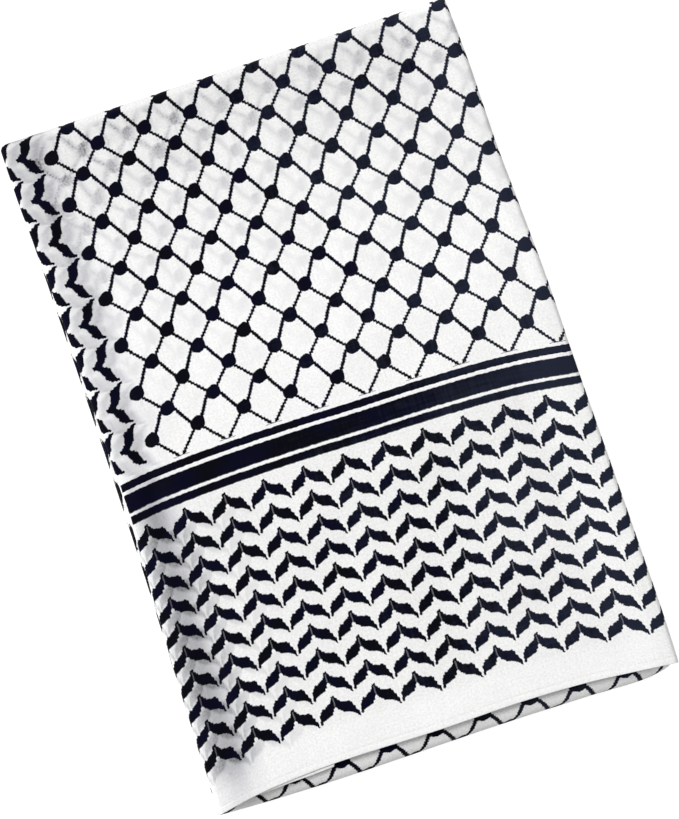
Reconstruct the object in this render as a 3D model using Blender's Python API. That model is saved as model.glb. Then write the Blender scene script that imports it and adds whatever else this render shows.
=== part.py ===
"""Keffiyeh headscarf folded into a flat rectangular pile.

One woven cotton square, about 1.2 m a side, is folded into four across its width and then into
three along its length. The hemmed third (A) lies on top, its hem at the front (-Y). The cloth
goes over the back fold, along the underside (B), round the front fold and in under the hem (C).
X is across the pile, Y along it, Z up; the underside is flat on Z = 0.
"""

import bpy
import numpy as np

MM = 0.001
CENTRE_SHIFT = (0.49, -0.06, 0.0)  # from the fold tables' origin to the pile's centre
WALL = 1.2  # cloth wall, with the pile of its woven floats
GAP = 0.3  # clearance between neighbouring pieces
FRONT_HEIGHT = 19.0  # twelve layers: A, C and B
BACK_HEIGHT = 13.5  # eight layers: C ends before the back
C_TOP = 12.6  # top of the tucked third, just under A's turned-in sides
SIDE_RADIUS = 2.9  # left and right folds of the outer layer
FRONT_SIDE_RADIUS = 1.9  # the same folds where they go round the front fold
LIP = 8.0  # how far in the turned-under side reaches, from the fold's edge
WEB = LIP + 0.5  # inset of the hidden layers between the turned-in sides
BACK_FOLD_Y = 220.75  # centre of the back fold
FRONT_FOLD_Y = -217.8  # centre of the front fold
FRONT_REACH = 9.0  # how far the front fold bulges past its centre
HEM_Y = -216.0  # front edge of A at mid-width
HEM_DEPTH = 8.4  # front to back of the stacked hems
TUCK_Y = HEM_Y + HEM_DEPTH  # inner end of the outer layer under A, at mid-width

# Plan outline of the top third: station along Y, left edge, right edge.
TOP_OUTLINE = (
    (222.0, -153.0, 148.0),
    (183.0, -152.8, 149.6),
    (158.0, -151.8, 149.7),
    (130.0, -150.8, 149.8),
    (91.0, -149.8, 151.1),
    (34.0, -148.9, 152.8),
    (-17.0, -148.8, 153.0),
    (-68.0, -149.2, 153.7),
    (-100.0, -150.2, 154.2),
    (-145.0, -151.8, 154.8),
    (-190.0, -153.4, 155.2),
    (-222.0, -154.3, 154.6),
)
# The same for the underside: it stands out a little at the left and is drawn in at the right.
UNDER_OUTLINE = (
    (222.0, -153.0, 148.0),
    (158.0, -152.4, 149.0),
    (90.0, -152.0, 150.1),
    (15.0, -151.9, 151.6),
    (-68.0, -152.6, 152.6),
    (-139.0, -154.3, 153.2),
    (-228.0, -156.2, 151.6),
)
# Front edge of the top third: across X, along Y. Its corners hang lower than its middle.
HEM_LINE = (
    (-154.0, -223.4),
    (-126.0, -218.5),
    (-92.0, -215.9),
    (0.0, -216.2),
    (57.0, -216.0),
    (96.0, -217.7),
    (128.0, -220.9),
    (155.0, -224.0),
)
# Outermost line of the front fold: across X, along Y.
FRONT_LINE = (
    (-156.0, -224.4),
    (-136.0, -225.4),
    (-113.0, -226.2),
    (57.0, -226.6),
    (96.0, -227.2),
    (138.0, -227.4),
    (146.0, -226.0),
    (152.0, -223.6),
)
# How far the rolled hem stands out past the edge above it: across X, reach.
HEM_REACH = (
    (-152.0, -0.5),
    (-128.0, -0.3),
    (-112.0, 1.6),
    (-90.0, 2.4),
    (-75.5, 2.1),
    (-74.0, -0.5),
    (152.0, -0.5),
)
# Large soft folds of the top third: start, end, half-width and height (a trough is negative).
RELIEF = (
    ((-131.0, 214.0), (-129.0, 20.0), 7.0, -0.8),
    ((-129.0, 20.0), (-136.0, -216.0), 7.0, -1.1),
    ((-60.0, 176.0), (70.0, 206.0), 9.0, -0.5),
    ((40.0, 92.0), (128.0, 150.0), 10.0, 0.4),
    ((-40.0, -60.0), (60.0, -38.0), 14.0, 0.4),
    ((118.0, -40.0), (126.0, -196.0), 12.0, -0.5),
)

# Stations shared by the pieces where the pile's height eases down.
EASED_YS = (32.0, 46.0, 61.0, 75.0, 89.0, 103.0, 118.0)
# Where the top surface has points across X, closer together over the trough at the left.
ACROSS = (
    -143.0, -138.0, -134.0, -130.0, -126.0, -118.0, -90.0, -50.0, -10.0, 30.0, 65.0, 92.0,
    112.0, 128.0, 143.0,
)


def smooth(t):
    """Ease from 0 to 1 with level ends: three t squared less two t cubed."""
    t = np.clip(t, 0.0, 1.0)
    return t * t * (3.0 - 2.0 * t)


def along(table, at, column):
    """Value of a table's column, in a straight line between its rows."""
    rows = np.array(sorted(table))
    return np.interp(at, rows[:, 0], rows[:, column])


def relief(x, y):
    """Height of the soft folds: each a bell across its line, eased out past its two ends."""
    height = np.zeros(np.broadcast(x, y).shape)
    for start, end, width, rise in RELIEF:
        start, end = np.array(start), np.array(end)
        length = np.linalg.norm(end - start)
        run = (end - start) / length
        forward = (x - start[0]) * run[0] + (y - start[1]) * run[1]
        aside = (x - start[0]) * run[1] - (y - start[1]) * run[0]
        past = np.maximum(np.maximum(-forward, forward - length), 0.0)
        height += rise * np.exp(-((aside / width) ** 2) - (past / (1.6 * width)) ** 2)
    return height


def drape(x, y):
    """Relief at one station along Y, in straight lines between the points across X.

    It fades to nothing where the turned-in sides start.
    """
    height = relief(np.array(ACROSS), np.full(len(ACROSS), y))
    height[[0, -1]] = 0.0
    return np.interp(x, ACROSS, height)


def top_height(y):
    """Height of the pile: it eases down where the tucked third ends."""
    return FRONT_HEIGHT + (BACK_HEIGHT - FRONT_HEIGHT) * smooth((y - 25.0) / 95.0)


def side_radius(y):
    """Radius of the underside's left and right folds: they tighten towards the front fold."""
    return SIDE_RADIUS + (FRONT_SIDE_RADIUS - SIDE_RADIUS) * smooth((-180.0 - y) / 34.0)


def hem_shift(x, y):
    """How far the hem's curve moves a point along Y, fading out towards the middle."""
    return (along(HEM_LINE, x, 1) - HEM_Y) * smooth((-110.0 - y) / 106.0)


def nose_shift(x, y):
    """How far the front fold's own curve moves a point along Y, most at its outermost line."""
    share = max(FRONT_FOLD_Y - y, 0.0) / FRONT_REACH
    return share * (along(FRONT_LINE, x, 1) - (FRONT_FOLD_Y - FRONT_REACH))


def fold_path():
    """Stations along the outer layer, from the hem round to the tucked end.

    Each is (y, z, outward y, outward z, side radius, share of top relief, left x, right x).
    """
    rows = []
    ys = np.concatenate([np.linspace(HEM_Y, -110.0, 5), np.linspace(-75.0, 20.0, 4)])
    ys = np.concatenate([ys, EASED_YS, np.linspace(145.0, 205.0, 3)])
    for y in ys:
        fade = 1.0 - smooth((y - 190.0) / 26.0)
        rows.append((y, top_height(y), 0.0, 1.0, SIDE_RADIUS, fade))
    radius = BACK_HEIGHT / 2.0
    for angle in np.linspace(np.pi / 2.0, -np.pi / 2.0, 9):
        out = (np.cos(angle), np.sin(angle))
        rows.append((BACK_FOLD_Y + radius * out[0], radius + radius * out[1], *out, SIDE_RADIUS, 0.0))
    for y in (158.0, 90.0, 15.0, -68.0, -139.0, -180.0, -190.0, -202.0, -210.0):
        rows.append((y, 0.0, 0.0, -1.0, side_radius(y), 0.0))
    half = C_TOP / 2.0
    for angle in np.linspace(-np.pi / 2.0, np.pi / 2.0, 9):
        reach = FRONT_REACH * np.cos(angle)
        normal = np.array([-half * np.cos(angle), FRONT_REACH * np.sin(angle)])
        normal /= np.linalg.norm(normal)
        z = half + half * np.sin(angle)
        rows.append((FRONT_FOLD_Y - reach, z, *normal, FRONT_SIDE_RADIUS, 0.0))
    rows.append((TUCK_Y, C_TOP, 0.0, 1.0, FRONT_SIDE_RADIUS, 0.0))
    stations = []
    for index, (y, z, out_y, out_z, side, share) in enumerate(rows):
        on_top = index < len(ys)
        turning = z / BACK_HEIGHT if y > BACK_FOLD_Y else float(on_top)
        left = turning * along(TOP_OUTLINE, y, 1) + (1.0 - turning) * along(UNDER_OUTLINE, y, 1)
        right = turning * along(TOP_OUTLINE, y, 2) + (1.0 - turning) * along(UNDER_OUTLINE, y, 2)
        stations.append((y, z, out_y, out_z, side, share if on_top else 0.0, left, right, on_top))
    return stations


def side_profile(left, right, radius, lip_depth, inset):
    """Points across the wall, as (x, depth): lip, left fold, flat, right fold, lip.

    The folds are half circles; inset moves the whole line inward, to the wall's other face.
    """
    turn = radius - inset
    angles = np.linspace(-np.pi / 2.0, np.pi / 2.0, 5)
    fold = np.stack([turn * np.cos(angles), radius - turn * np.sin(angles)], axis=1)
    left_fold = np.stack([left + radius - fold[:, 0], fold[:, 1]], axis=1)
    right_fold = np.stack([right - radius + fold[::-1, 0], fold[::-1, 1]], axis=1)
    flat = np.array(ACROSS)
    top = np.stack([flat, np.full(len(flat), inset)], axis=1)
    foot = 2.0 * radius - inset
    left_lip = np.array([[left + lip_depth, foot]])
    right_lip = np.array([[right - lip_depth, foot]])
    return np.concatenate([left_lip, left_fold, top, right_fold, right_lip])


def collection(name, hide=False):
    """A new collection linked to the scene."""
    made = bpy.data.collections.new(name)
    bpy.context.scene.collection.children.link(made)
    made.hide_render = hide
    return made


def material(name, colour, roughness):
    """A plain cloth material."""
    made = bpy.data.materials.new(name)
    made.use_nodes = True
    shader = made.node_tree.nodes["Principled BSDF"]
    shader.inputs["Base Color"].default_value = (*colour, 1.0)
    shader.inputs["Roughness"].default_value = roughness
    shader.inputs["Metallic"].default_value = 0.0
    return made


def mesh_object(name, points, faces, into, surface):
    """A mesh from points in millimetres and faces that look outward."""
    mesh = bpy.data.meshes.new(name)
    placed = (np.asarray(points) + CENTRE_SHIFT) * MM
    mesh.from_pydata(placed.tolist(), [], [list(map(int, face)) for face in faces])
    mesh.validate()
    mesh.materials.append(surface)
    for polygon in mesh.polygons:
        polygon.use_smooth = True
    made = bpy.data.objects.new(name, mesh)
    into.objects.link(made)
    return made


def skin(rings):
    """Quads between closed rings of equal length, rings ordered so that they look outward."""
    count, size = len(rings), len(rings[0])
    faces = []
    for ring in range(count - 1):
        for step in range(size):
            nxt = (step + 1) % size
            a, b = ring * size, (ring + 1) * size
            faces.append((a + step, a + nxt, b + nxt, b + step))
    return faces


def build_outer_panel(into):
    """The layer that shows: one wall swept along the fold path, closed at its hem and inner end.

    Each ring runs across the outward face and back across the inward one.
    """
    rings = []
    for y, z, out_y, out_z, side, share, left, right, on_top in fold_path():
        across = [side_profile(left, right, side, LIP, inset) for inset in (0.0, WALL)]
        ring = np.concatenate([across[0], across[1][::-1]])
        x, depth = ring[:, 0], ring[:, 1]
        py = y - depth * out_y
        pz = z - depth * out_z
        if on_top:
            pz = pz + share * drape(x, y)
            py = py + hem_shift(x, y)
        else:
            py = py + nose_shift(x, y)
        rings.append(np.stack([x, py, pz], axis=1))
    rings[-1][:, 1] += along(HEM_LINE, rings[-1][:, 0], 1) - HEM_Y
    size = len(rings[0])
    faces = skin(rings)
    last = (len(rings) - 1) * size
    for step in range(size // 2 - 1):
        back = size - 1 - step
        faces.append((step, back, back - 1, step + 1))
        faces.append((last + step, last + step + 1, last + back - 1, last + back))
    cloth = material("white_cotton", (0.86, 0.86, 0.85), 0.85)
    return mesh_object("outer_panel", np.concatenate(rings), faces, into, cloth)


def lobe(start, top, foot, folds, reach):
    """Rounded right-hand end of a bundle of layers, as half circles stacked from top to foot."""
    radius = (top - foot) / (2.0 * folds)
    points = []
    for fold in range(folds):
        middle = top - radius * (2 * fold + 1)
        for angle in np.linspace(np.pi / 2.0, -np.pi / 2.0, 5):
            bulge = reach * np.cos(angle)
            points.append((start + bulge, middle + radius * 0.98 * np.sin(angle)))
    return points


def hidden_section(y, a_top, a_foot, c_top, c_foot, b_top, b_foot, open_a, open_c, open_b):
    """Closed ring round the hidden layers at one station, as (x, z).

    open_a, open_c and open_b are 1 where that third fills its side folds and 0 where only the
    web between the turned-in sides is left.
    """
    thirds = (
        (a_top, a_foot, open_a, 1, TOP_OUTLINE, WALL + GAP),
        (c_top, c_foot, open_c, 2, UNDER_OUTLINE, 0.8),
        (b_top, b_foot, open_b, 1, UNDER_OUTLINE, WALL + GAP),
    )
    sides = []
    for column, sign in ((2, 1.0), (1, -1.0)):
        web = min(sign * along(t, y, column) for t in (TOP_OUTLINE, UNDER_OUTLINE)) - WEB
        points = []
        for top, foot, opened, folds, outline, inset in thirds:
            edge = sign * along(outline, y, column) - inset
            radius = (top - foot) / (2.0 * folds)
            full = edge - radius
            start = web + 0.1 + opened * (full - web - 0.1)
            reach = 0.15 + opened * (radius - 0.15)
            points.append((web, top))
            points += lobe(start, top, foot, folds, reach)
            points.append((web, foot))
        sides.append([(sign * px, pz) for px, pz in points])
    right, left = sides
    across = ACROSS[1:-1]
    top = [(px, a_top) for px in across]
    foot = [(px, b_foot) for px in across[::-1]]
    return np.array(top + right + foot + left[::-1])


def build_folded_layers(into):
    """All the hidden layers as one rounded solid, layered at its edges.

    Behind the stacked hems it fills all three thirds; the tucked third shows at the sides as two
    folds and ends at mid-length. In front of them it fills only the front fold.
    """
    inner = WALL + GAP
    rows = []  # y, heights of A, C and B from top to foot, how open the sides of A, C and B are
    half = C_TOP / 2.0
    for share in (0.93, 0.7, 0.35, 0.0):
        rise = (half - inner) * np.sqrt(1.0 - share**2)
        y = FRONT_FOLD_Y - share * (FRONT_REACH - inner)
        rows.append((y, half + rise, half - rise, False, 0.0, 0.0, 0.0))
    rows.append((TUCK_Y + 0.3, C_TOP - inner, inner, False, 0.0, 0.0, 0.0))
    rows.append((TUCK_Y + 0.5, None, inner, True, 0.0, 0.0, 0.0))
    rows.append((TUCK_Y + 1.0, None, inner, True, 1.0, 0.0, 0.0))
    for y in (-202.0, -190.0, -180.0, -139.0):
        rows.append((y, None, inner, True, 1.0, 1.0, float(y > -180.0)))
    for y in (-110.0, -68.0, 20.0, *EASED_YS[:3]):
        rows.append((y, None, inner, True, 1.0, 1.0, 1.0))
    rows += [(y, None, inner, True, 1.0, 0.0, 1.0) for y in (*EASED_YS[3:], 145.0, 175.0)]
    rows += [(y, None, inner, True, 1.0, 0.0, 1.0) for y in (205.0, 216.0)]
    rows += [(y, None, inner, True, 0.0, 0.0, 0.0) for y in (217.0, BACK_FOLD_Y)]
    radius = BACK_HEIGHT / 2.0
    for share in (0.35, 0.7, 0.93):
        rise = (radius - inner) * np.sqrt(1.0 - share**2)
        y = BACK_FOLD_Y + share * (radius - inner)
        rows.append((y, radius + rise, radius - rise, False, 0.0, 0.0, 0.0))
    rings = []
    for y, top, foot, whole, open_a, open_c, open_b in rows:
        if whole:
            top = top_height(y) - inner
            a_foot = top_height(y) - 2.0 * SIDE_RADIUS + inner
            c_top = top_height(y) - 2.0 * SIDE_RADIUS - GAP
            b_top = 2.0 * side_radius(y) - inner
            c_foot = min(2.0 * side_radius(y) + GAP, c_top - 0.3)
            b_top = min(b_top, c_foot - 0.1)
        else:
            a_foot, c_top = top - 0.1, top - 0.2
            c_foot, b_top = foot + 0.3, foot + 0.2
        section = hidden_section(y, top, a_foot, c_top, c_foot, b_top, foot, open_a, open_c, open_b)
        x, z = section[:, 0], section[:, 1]
        py = y + nose_shift(x, y)
        if whole:
            py = py + np.where(z > c_top + 0.05, hem_shift(x, y), 0.0)
            fade = 1.0 - smooth((y - 190.0) / 26.0)
            z = z + np.where(z > top - 0.05, fade * drape(x, y), 0.0)
        elif y > FRONT_FOLD_Y + FRONT_REACH:
            py = py + along(HEM_LINE, x, 1) - HEM_Y
        rings.append(np.stack([x, py, z], axis=1))
    size = len(rings[0])
    faces = skin(rings)
    last = (len(rings) - 1) * size
    faces.append(list(range(size - 1, -1, -1)))
    faces.append([last + step for step in range(size)])
    cloth = material("hidden_cotton", (0.8, 0.8, 0.79), 0.9)
    return mesh_object("folded_layers", np.concatenate(rings), faces, into, cloth)


def build_end_hems(into):
    """The rolled hems of the top third's four layers, stacked and stepped, under its front edge.

    The uppermost shows a little past the edge above it at the left.
    """
    x = np.array(sorted(set(ACROSS) | {-75.6, -74.2, 145.5}))
    line = along(HEM_LINE, x, 1)
    reach = along(HEM_REACH, x, 1)
    noses = ((0.0, 17.5, 16.3), (1.0, 16.1, 15.2), (0.6, 15.0, 14.1), (1.3, 13.9, 13.0))
    rings = []
    for px, edge, out in zip(x, line, reach, strict=True):
        lift = drape(px, HEM_Y)
        outline = [(edge + HEM_DEPTH, 17.5)]
        for step, (setback, top, foot) in enumerate(noses):
            front = edge + setback - (out if step == 0 else -0.5)
            outline += [(front + 0.3, top), (front, top - 0.3), (front, foot + 0.3), (front + 0.3, foot)]
            if step < len(noses) - 1:
                outline += [(edge + 3.4, foot - 0.05)]
        outline.append((edge + HEM_DEPTH, 13.0))
        rings.append([(px, oy, oz + lift * (oz - 13.0) / 4.5) for oy, oz in outline])
    size = len(rings[0])
    faces = skin(rings)
    last = (len(rings) - 1) * size
    faces.append(list(range(size - 1, -1, -1)))
    faces.append([last + step for step in range(size)])
    cloth = material("hem_cotton", (0.88, 0.88, 0.87), 0.85)
    return mesh_object("end_hems", np.concatenate([np.array(r) for r in rings]), faces, into, cloth)


for old in list(bpy.data.objects):
    bpy.data.objects.remove(old, do_unlink=True)
scarf = collection("keffiyeh_headscarf")
build_outer_panel(scarf)
build_end_hems(scarf)
build_folded_layers(scarf)
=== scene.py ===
"""Keffiyeh headscarf: one woven cotton square folded into a flat pile, lying on a pale floor.

X runs across the pile, Y along it from the hemmed front edge to the back fold, Z is up.
Lengths are in millimetres until a mesh is made.
"""

import bmesh
import bpy
import numpy as np
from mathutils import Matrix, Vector


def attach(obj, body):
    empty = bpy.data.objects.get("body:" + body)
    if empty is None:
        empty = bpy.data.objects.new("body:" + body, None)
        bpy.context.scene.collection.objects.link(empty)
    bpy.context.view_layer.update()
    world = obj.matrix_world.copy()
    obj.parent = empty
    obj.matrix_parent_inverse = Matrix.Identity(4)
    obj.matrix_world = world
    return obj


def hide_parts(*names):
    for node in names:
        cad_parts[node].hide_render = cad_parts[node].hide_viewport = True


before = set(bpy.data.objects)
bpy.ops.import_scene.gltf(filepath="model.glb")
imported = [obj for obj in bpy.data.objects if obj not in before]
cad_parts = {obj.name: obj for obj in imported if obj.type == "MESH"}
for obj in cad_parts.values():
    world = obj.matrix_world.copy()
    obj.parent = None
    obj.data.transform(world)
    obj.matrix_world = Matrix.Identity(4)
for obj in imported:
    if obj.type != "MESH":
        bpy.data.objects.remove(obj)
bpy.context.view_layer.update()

# Outer cloth: the quarter-wide strip of the square that shows all round the pile. It is one thin
# sheet of plain-woven cotton, turned under at its hem, laid back along the top, over the back
# fold, along the underside, round the front fold and in again; its two sides are turned in.
MM = 0.001
CENTRE_SHIFT = (0.49, -0.06, 0.0)  # from the fold tables' origin to the pile's centre
CLOTH = 0.55  # thickness of the cotton
FRONT_HEIGHT = 19.0  # of the pile where the tucked third lies in it
BACK_HEIGHT = 13.5
C_TOP = 12.6  # top of the front fold, which goes in under the hem
SIDE_RADIUS = 2.9  # of the left and right folds
FRONT_SIDE_RADIUS = 1.9  # of the same two at the front fold
LIP = 8.0  # how far in each side is turned
BACK_FOLD_Y = 220.75  # where the back fold's half circle starts
FRONT_FOLD_Y = -217.8  # where the front fold starts
FRONT_REACH = 9.0  # how far it stands out from there
HEM_Y = -216.0  # front edge of the top third, in the middle
HEM_DEPTH = 8.4  # from there back to the end of the tuck
HEM_TURN = 5.0  # width of the hem turned under
HEM_DROP = 1.05  # from the top of the hem down to its turned-under layer
TUCK_Y = HEM_Y + HEM_DEPTH
TUCK_STATIONS = 5  # the strip's last stations, over the tuck
TOP_STEP = 2.4  # between stations of the top third
UNDER_STEP = 6.0  # and of the underside
ACROSS = 116  # points across the flat between the two sides' half circles
UNDER_EASE = 0.9795  # the underside is pulled a little shorter than its path
FRONT_SLACK = 1.17  # the front fold takes up a little more cloth than its smooth curve

# Plan outline of the top third: station along Y, left edge, right edge, and where the warp thread
# 148.8 left of the middle lies, which the edge leaves behind towards the front.
TOP_OUTLINE = (
    (-222.0, -155.0, 154.6, -154.3),
    (-190.0, -154.3, 155.2, -153.4),
    (-145.0, -153.6, 154.8, -151.8),
    (-100.0, -152.0, 154.2, -150.2),
    (-68.0, -150.5, 153.7, -149.2),
    (-17.0, -148.9, 153.0, -148.8),
    (34.0, -148.9, 152.8, -148.9),
    (91.0, -149.8, 151.1, -149.8),
    (130.0, -150.8, 149.8, -150.8),
    (158.0, -151.8, 149.7, -151.8),
    (183.0, -152.8, 149.6, -152.8),
    (222.0, -153.0, 148.0, -153.0),
)
LEFT, RIGHT, WARP = 1, 2, 3  # the outline's columns
# The same for the underside, without the warp. It stands out a little at the left.
UNDER_OUTLINE = (
    (-228.0, -156.2, 151.6),
    (-139.0, -154.3, 153.2),
    (-68.0, -152.6, 152.6),
    (15.0, -151.9, 151.6),
    (90.0, -152.0, 150.1),
    (158.0, -152.4, 149.0),
    (222.0, -153.0, 148.0),
)
# Front edge of the top third: across X, along Y.
HEM_LINE = (
    (-154.0, -223.4),
    (-126.0, -218.5),
    (-92.0, -215.9),
    (0.0, -216.2),
    (57.0, -216.0),
    (96.0, -217.7),
    (128.0, -220.9),
    (155.0, -224.0),
)
# Outermost line of the front fold: across X, along Y.
FRONT_LINE = (
    (-156.0, -224.4),
    (-136.0, -225.4),
    (-113.0, -226.2),
    (57.0, -226.6),
    (96.0, -227.2),
    (138.0, -227.4),
    (146.0, -226.0),
    (152.0, -223.6),
)
# How far the weft lines of the top third hang towards the front: across X, sag.
WEFT_SAG = (
    (-154.0, 4.6),
    (-126.0, 1.6),
    (-112.0, 0.9),
    (-85.0, 0.0),
    (-25.0, 0.0),
    (5.0, 0.6),
    (65.0, 1.1),
    (95.0, 2.2),
    (120.0, 4.1),
    (151.0, 8.1),
)
# How much of that sag there is: along Y, share.
SAG_ALONG = ((-222.0, 1.0), (20.0, 1.0), (112.0, 0.3), (210.0, 0.0), (222.0, 0.0))
# The handled cloth isn't quite square: along Y, how far a weft line is eased along there, and how
# far the warp at the left is eased across.
WEFT_EASE = (
    (-222.0, 0.0),
    (-30.0, 0.0),
    (5.0, -0.3),
    (30.0, 0.3),
    (60.0, 0.8),
    (90.0, 0.6),
    (120.0, 1.3),
    (150.0, 1.8),
    (180.0, 0.4),
    (222.0, 0.4),
)
WARP_EASE = (
    (-222.0, 0.0),
    (30.0, 0.0),
    (60.0, -0.5),
    (90.0, -1.2),
    (120.0, -1.8),
    (150.0, -1.6),
    (180.0, -0.7),
    (206.0, 0.0),
    (222.0, 0.0),
)
# Near the hem the sag grows: across X, sag; and along Y, how much of it there is.
HEM_SAG = (
    (-154.0, 0.4),
    (-55.0, 0.4),
    (-25.0, 0.9),
    (5.0, 1.3),
    (35.0, 1.9),
    (95.0, 1.9),
    (120.0, 2.5),
    (151.0, 3.6),
)
HEM_SAG_ALONG = (
    (-222.0, 0.0),
    (-210.0, 0.0),
    (-196.0, 1.0),
    (-180.0, 1.0),
    (-150.0, 0.45),
    (-120.0, 0.1),
    (-100.0, 0.0),
    (222.0, 0.0),
)
# Soft folds of the top third: start, end, half-width and height (a trough is negative).
RELIEF = (
    ((-132.0, 214.0), (-128.0, 20.0), 5.5, -1.4),
    ((-128.0, 20.0), (-132.0, -186.0), 7.0, -2.0),
    ((-121.0, 176.0), (-118.0, 92.0), 5.0, -0.7),
    ((-146.0, -60.0), (-147.0, -190.0), 3.0, 0.5),
    ((-75.0, 207.0), (75.0, 208.0), 6.0, -0.9),
    ((-60.0, 176.0), (70.0, 200.0), 9.0, -0.6),
    ((40.0, 92.0), (128.0, 150.0), 10.0, 0.5),
    ((-40.0, -60.0), (60.0, -38.0), 14.0, 0.5),
    ((118.0, -40.0), (126.0, -196.0), 12.0, -0.6),
    ((-122.0, 196.0), (-70.0, 210.0), 4.0, -0.7),
    ((84.0, 202.0), (136.0, 188.0), 5.0, -0.5),
    ((-20.0, 150.0), (34.0, 168.0), 6.0, 0.35),
    ((132.0, 120.0), (142.0, 30.0), 5.0, -0.5),
    ((-100.0, -150.0), (-62.0, -208.0), 7.0, 0.35),
    ((30.0, -176.0), (92.0, -160.0), 8.0, -0.35),
    ((-84.0, 60.0), (-66.0, 6.0), 9.0, -0.3),
    ((70.0, 20.0), (110.0, -8.0), 8.0, -0.3),
    ((-112.0, -70.0), (-96.0, -128.0), 6.0, -0.35),
)
# Faint waves of handled cloth: the way they run, in radians from X, their length and their phase.
WAVES = ((0.3, 61.0, 0.4), (1.1, 83.0, 2.0), (1.9, 47.0, 4.1), (2.6, 71.0, 1.2))
WAVE_HEIGHT = 0.1
EDGE_DROOP = 0.7  # how far the top sinks towards its two sides
EDGE_DROOP_WIDTH = 7.0


def smooth(t):
    """Ease from 0 to 1 with level ends: three t squared less two t cubed."""
    t = np.clip(t, 0.0, 1.0)
    return t * t * (3.0 - 2.0 * t)


def along(table, at, column=1):
    """A table's column as a smooth curve through its rows.

    Between two rows it is the cubic whose slopes there are the mean slopes of the table.
    """
    rows = np.array(table)
    x, y = rows[:, 0], rows[:, column]
    slope = np.gradient(y, x)
    at = np.clip(np.asarray(at, float), x[0], x[-1])
    i = np.clip(np.searchsorted(x, at) - 1, 0, len(x) - 2)
    span = x[i + 1] - x[i]
    t = (at - x[i]) / span
    rise = y[i] * (2 * t**3 - 3 * t**2 + 1) + y[i + 1] * (3 * t**2 - 2 * t**3)
    return rise + span * (slope[i] * (t**3 - 2 * t**2 + t) + slope[i + 1] * (t**3 - t**2))


def relief(x, y):
    """Height of the soft folds: each a bell across its line, eased out past its two ends.

    Four long sine waves at odd angles add the faint unevenness of cloth that has been handled.
    """
    height = np.zeros(np.broadcast(x, y).shape)
    for start, end, width, rise in RELIEF:
        start, end = np.array(start), np.array(end)
        length = np.linalg.norm(end - start)
        run = (end - start) / length
        forward = (x - start[0]) * run[0] + (y - start[1]) * run[1]
        aside = (x - start[0]) * run[1] - (y - start[1]) * run[0]
        past = np.maximum(np.maximum(-forward, forward - length), 0.0)
        height += rise * np.exp(-((aside / width) ** 2) - (past / (1.6 * width)) ** 2)
    for turn, wave, phase in WAVES:
        across = x * np.cos(turn) + y * np.sin(turn)
        bend = 0.9 * np.sin(y / 57.0)
        height += WAVE_HEIGHT * np.sin(2.0 * np.pi * across / wave + phase + bend)
    return height


def top_height(y):
    """Height of the pile: it eases down where the tucked third ends."""
    return FRONT_HEIGHT + (BACK_HEIGHT - FRONT_HEIGHT) * smooth((y - 25.0) / 95.0)


def side_radius(y):
    """Radius of the underside's left and right folds: they tighten towards the front fold."""
    return SIDE_RADIUS + (FRONT_SIDE_RADIUS - SIDE_RADIUS) * smooth((-180.0 - y) / 34.0)


def hem_share(y):
    """How much of the hem's curve is felt at one station: all at the hem, none from y = -110."""
    return smooth((-110.0 - y) / 106.0)


def fold_path():
    """Stations along the strip as columns: y, z, outward y, outward z, side radius, inset, v, top.

    v is the length run from the hem's edge; top is 1 on the top third and 0 under it. The hem is
    a half circle from the turned-under layer, inset into the pile, up to the top. The back fold is
    a half circle too, and the front fold half an ellipse.
    """
    rows = []
    for y in np.linspace(HEM_Y + HEM_TURN, HEM_Y + 1.2, 4):
        rows.append((y, top_height(HEM_Y), 0, 1, SIDE_RADIUS, HEM_DROP, HEM_Y - y, 1))
    for angle in np.linspace(-np.pi / 2.0, np.pi / 2.0, 9):
        inset = HEM_DROP / 2.0 * (1.0 - np.sin(angle))
        y = HEM_Y + HEM_DROP / 2.0 * (1.0 - np.cos(angle))
        rows.append((y, top_height(HEM_Y), 0, 1, SIDE_RADIUS, inset, 0.4 * np.sin(angle), 1))
    for y in np.concatenate([np.arange(HEM_Y + TOP_STEP, 214.0, TOP_STEP), [217.0]]):
        rows.append((y, top_height(y), 0, 1, SIDE_RADIUS, 0, y - HEM_Y, 1))
    radius = BACK_HEIGHT / 2.0
    run = BACK_FOLD_Y - HEM_Y
    for angle in np.linspace(np.pi / 2.0, -np.pi / 2.0, 21):
        out_y, out_z = np.cos(angle), np.sin(angle)
        v = run + radius * (np.pi / 2.0 - angle)
        top = 0.5 + 0.5 * out_z
        y, z = BACK_FOLD_Y + radius * out_y, radius + radius * out_z
        rows.append((y, z, out_y, out_z, SIDE_RADIUS, 0, v, top))
    run += np.pi * radius
    for y in np.arange(214.0, FRONT_FOLD_Y + 3.0, -UNDER_STEP):
        rows.append((y, 0, 0, -1, side_radius(y), 0, run + UNDER_EASE * (BACK_FOLD_Y - y), 0))
    run += UNDER_EASE * (BACK_FOLD_Y - FRONT_FOLD_Y)
    half = C_TOP / 2.0
    angles = np.linspace(-np.pi / 2.0, np.pi / 2.0, 25)
    y = FRONT_FOLD_Y - FRONT_REACH * np.cos(angles)
    z = half + half * np.sin(angles)
    normal = np.stack([-half * np.cos(angles), FRONT_REACH * np.sin(angles)])
    normal /= np.linalg.norm(normal, axis=0)
    arc = FRONT_SLACK * np.concatenate([[0.0], np.cumsum(np.hypot(np.diff(y), np.diff(z)))])
    for place_y, place_z, out_y, out_z, length in zip(y, z, *normal, arc, strict=True):
        rows.append((place_y, place_z, out_y, out_z, FRONT_SIDE_RADIUS, 0, run + length, 0))
    run += arc[-1]
    for y in np.linspace(FRONT_FOLD_Y + 2.0, TUCK_Y, TUCK_STATIONS):
        rows.append((y, C_TOP, 0, 1, FRONT_SIDE_RADIUS, 0, run + y - FRONT_FOLD_Y, 0))
    return np.array(rows).T[:, :, None]


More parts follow.
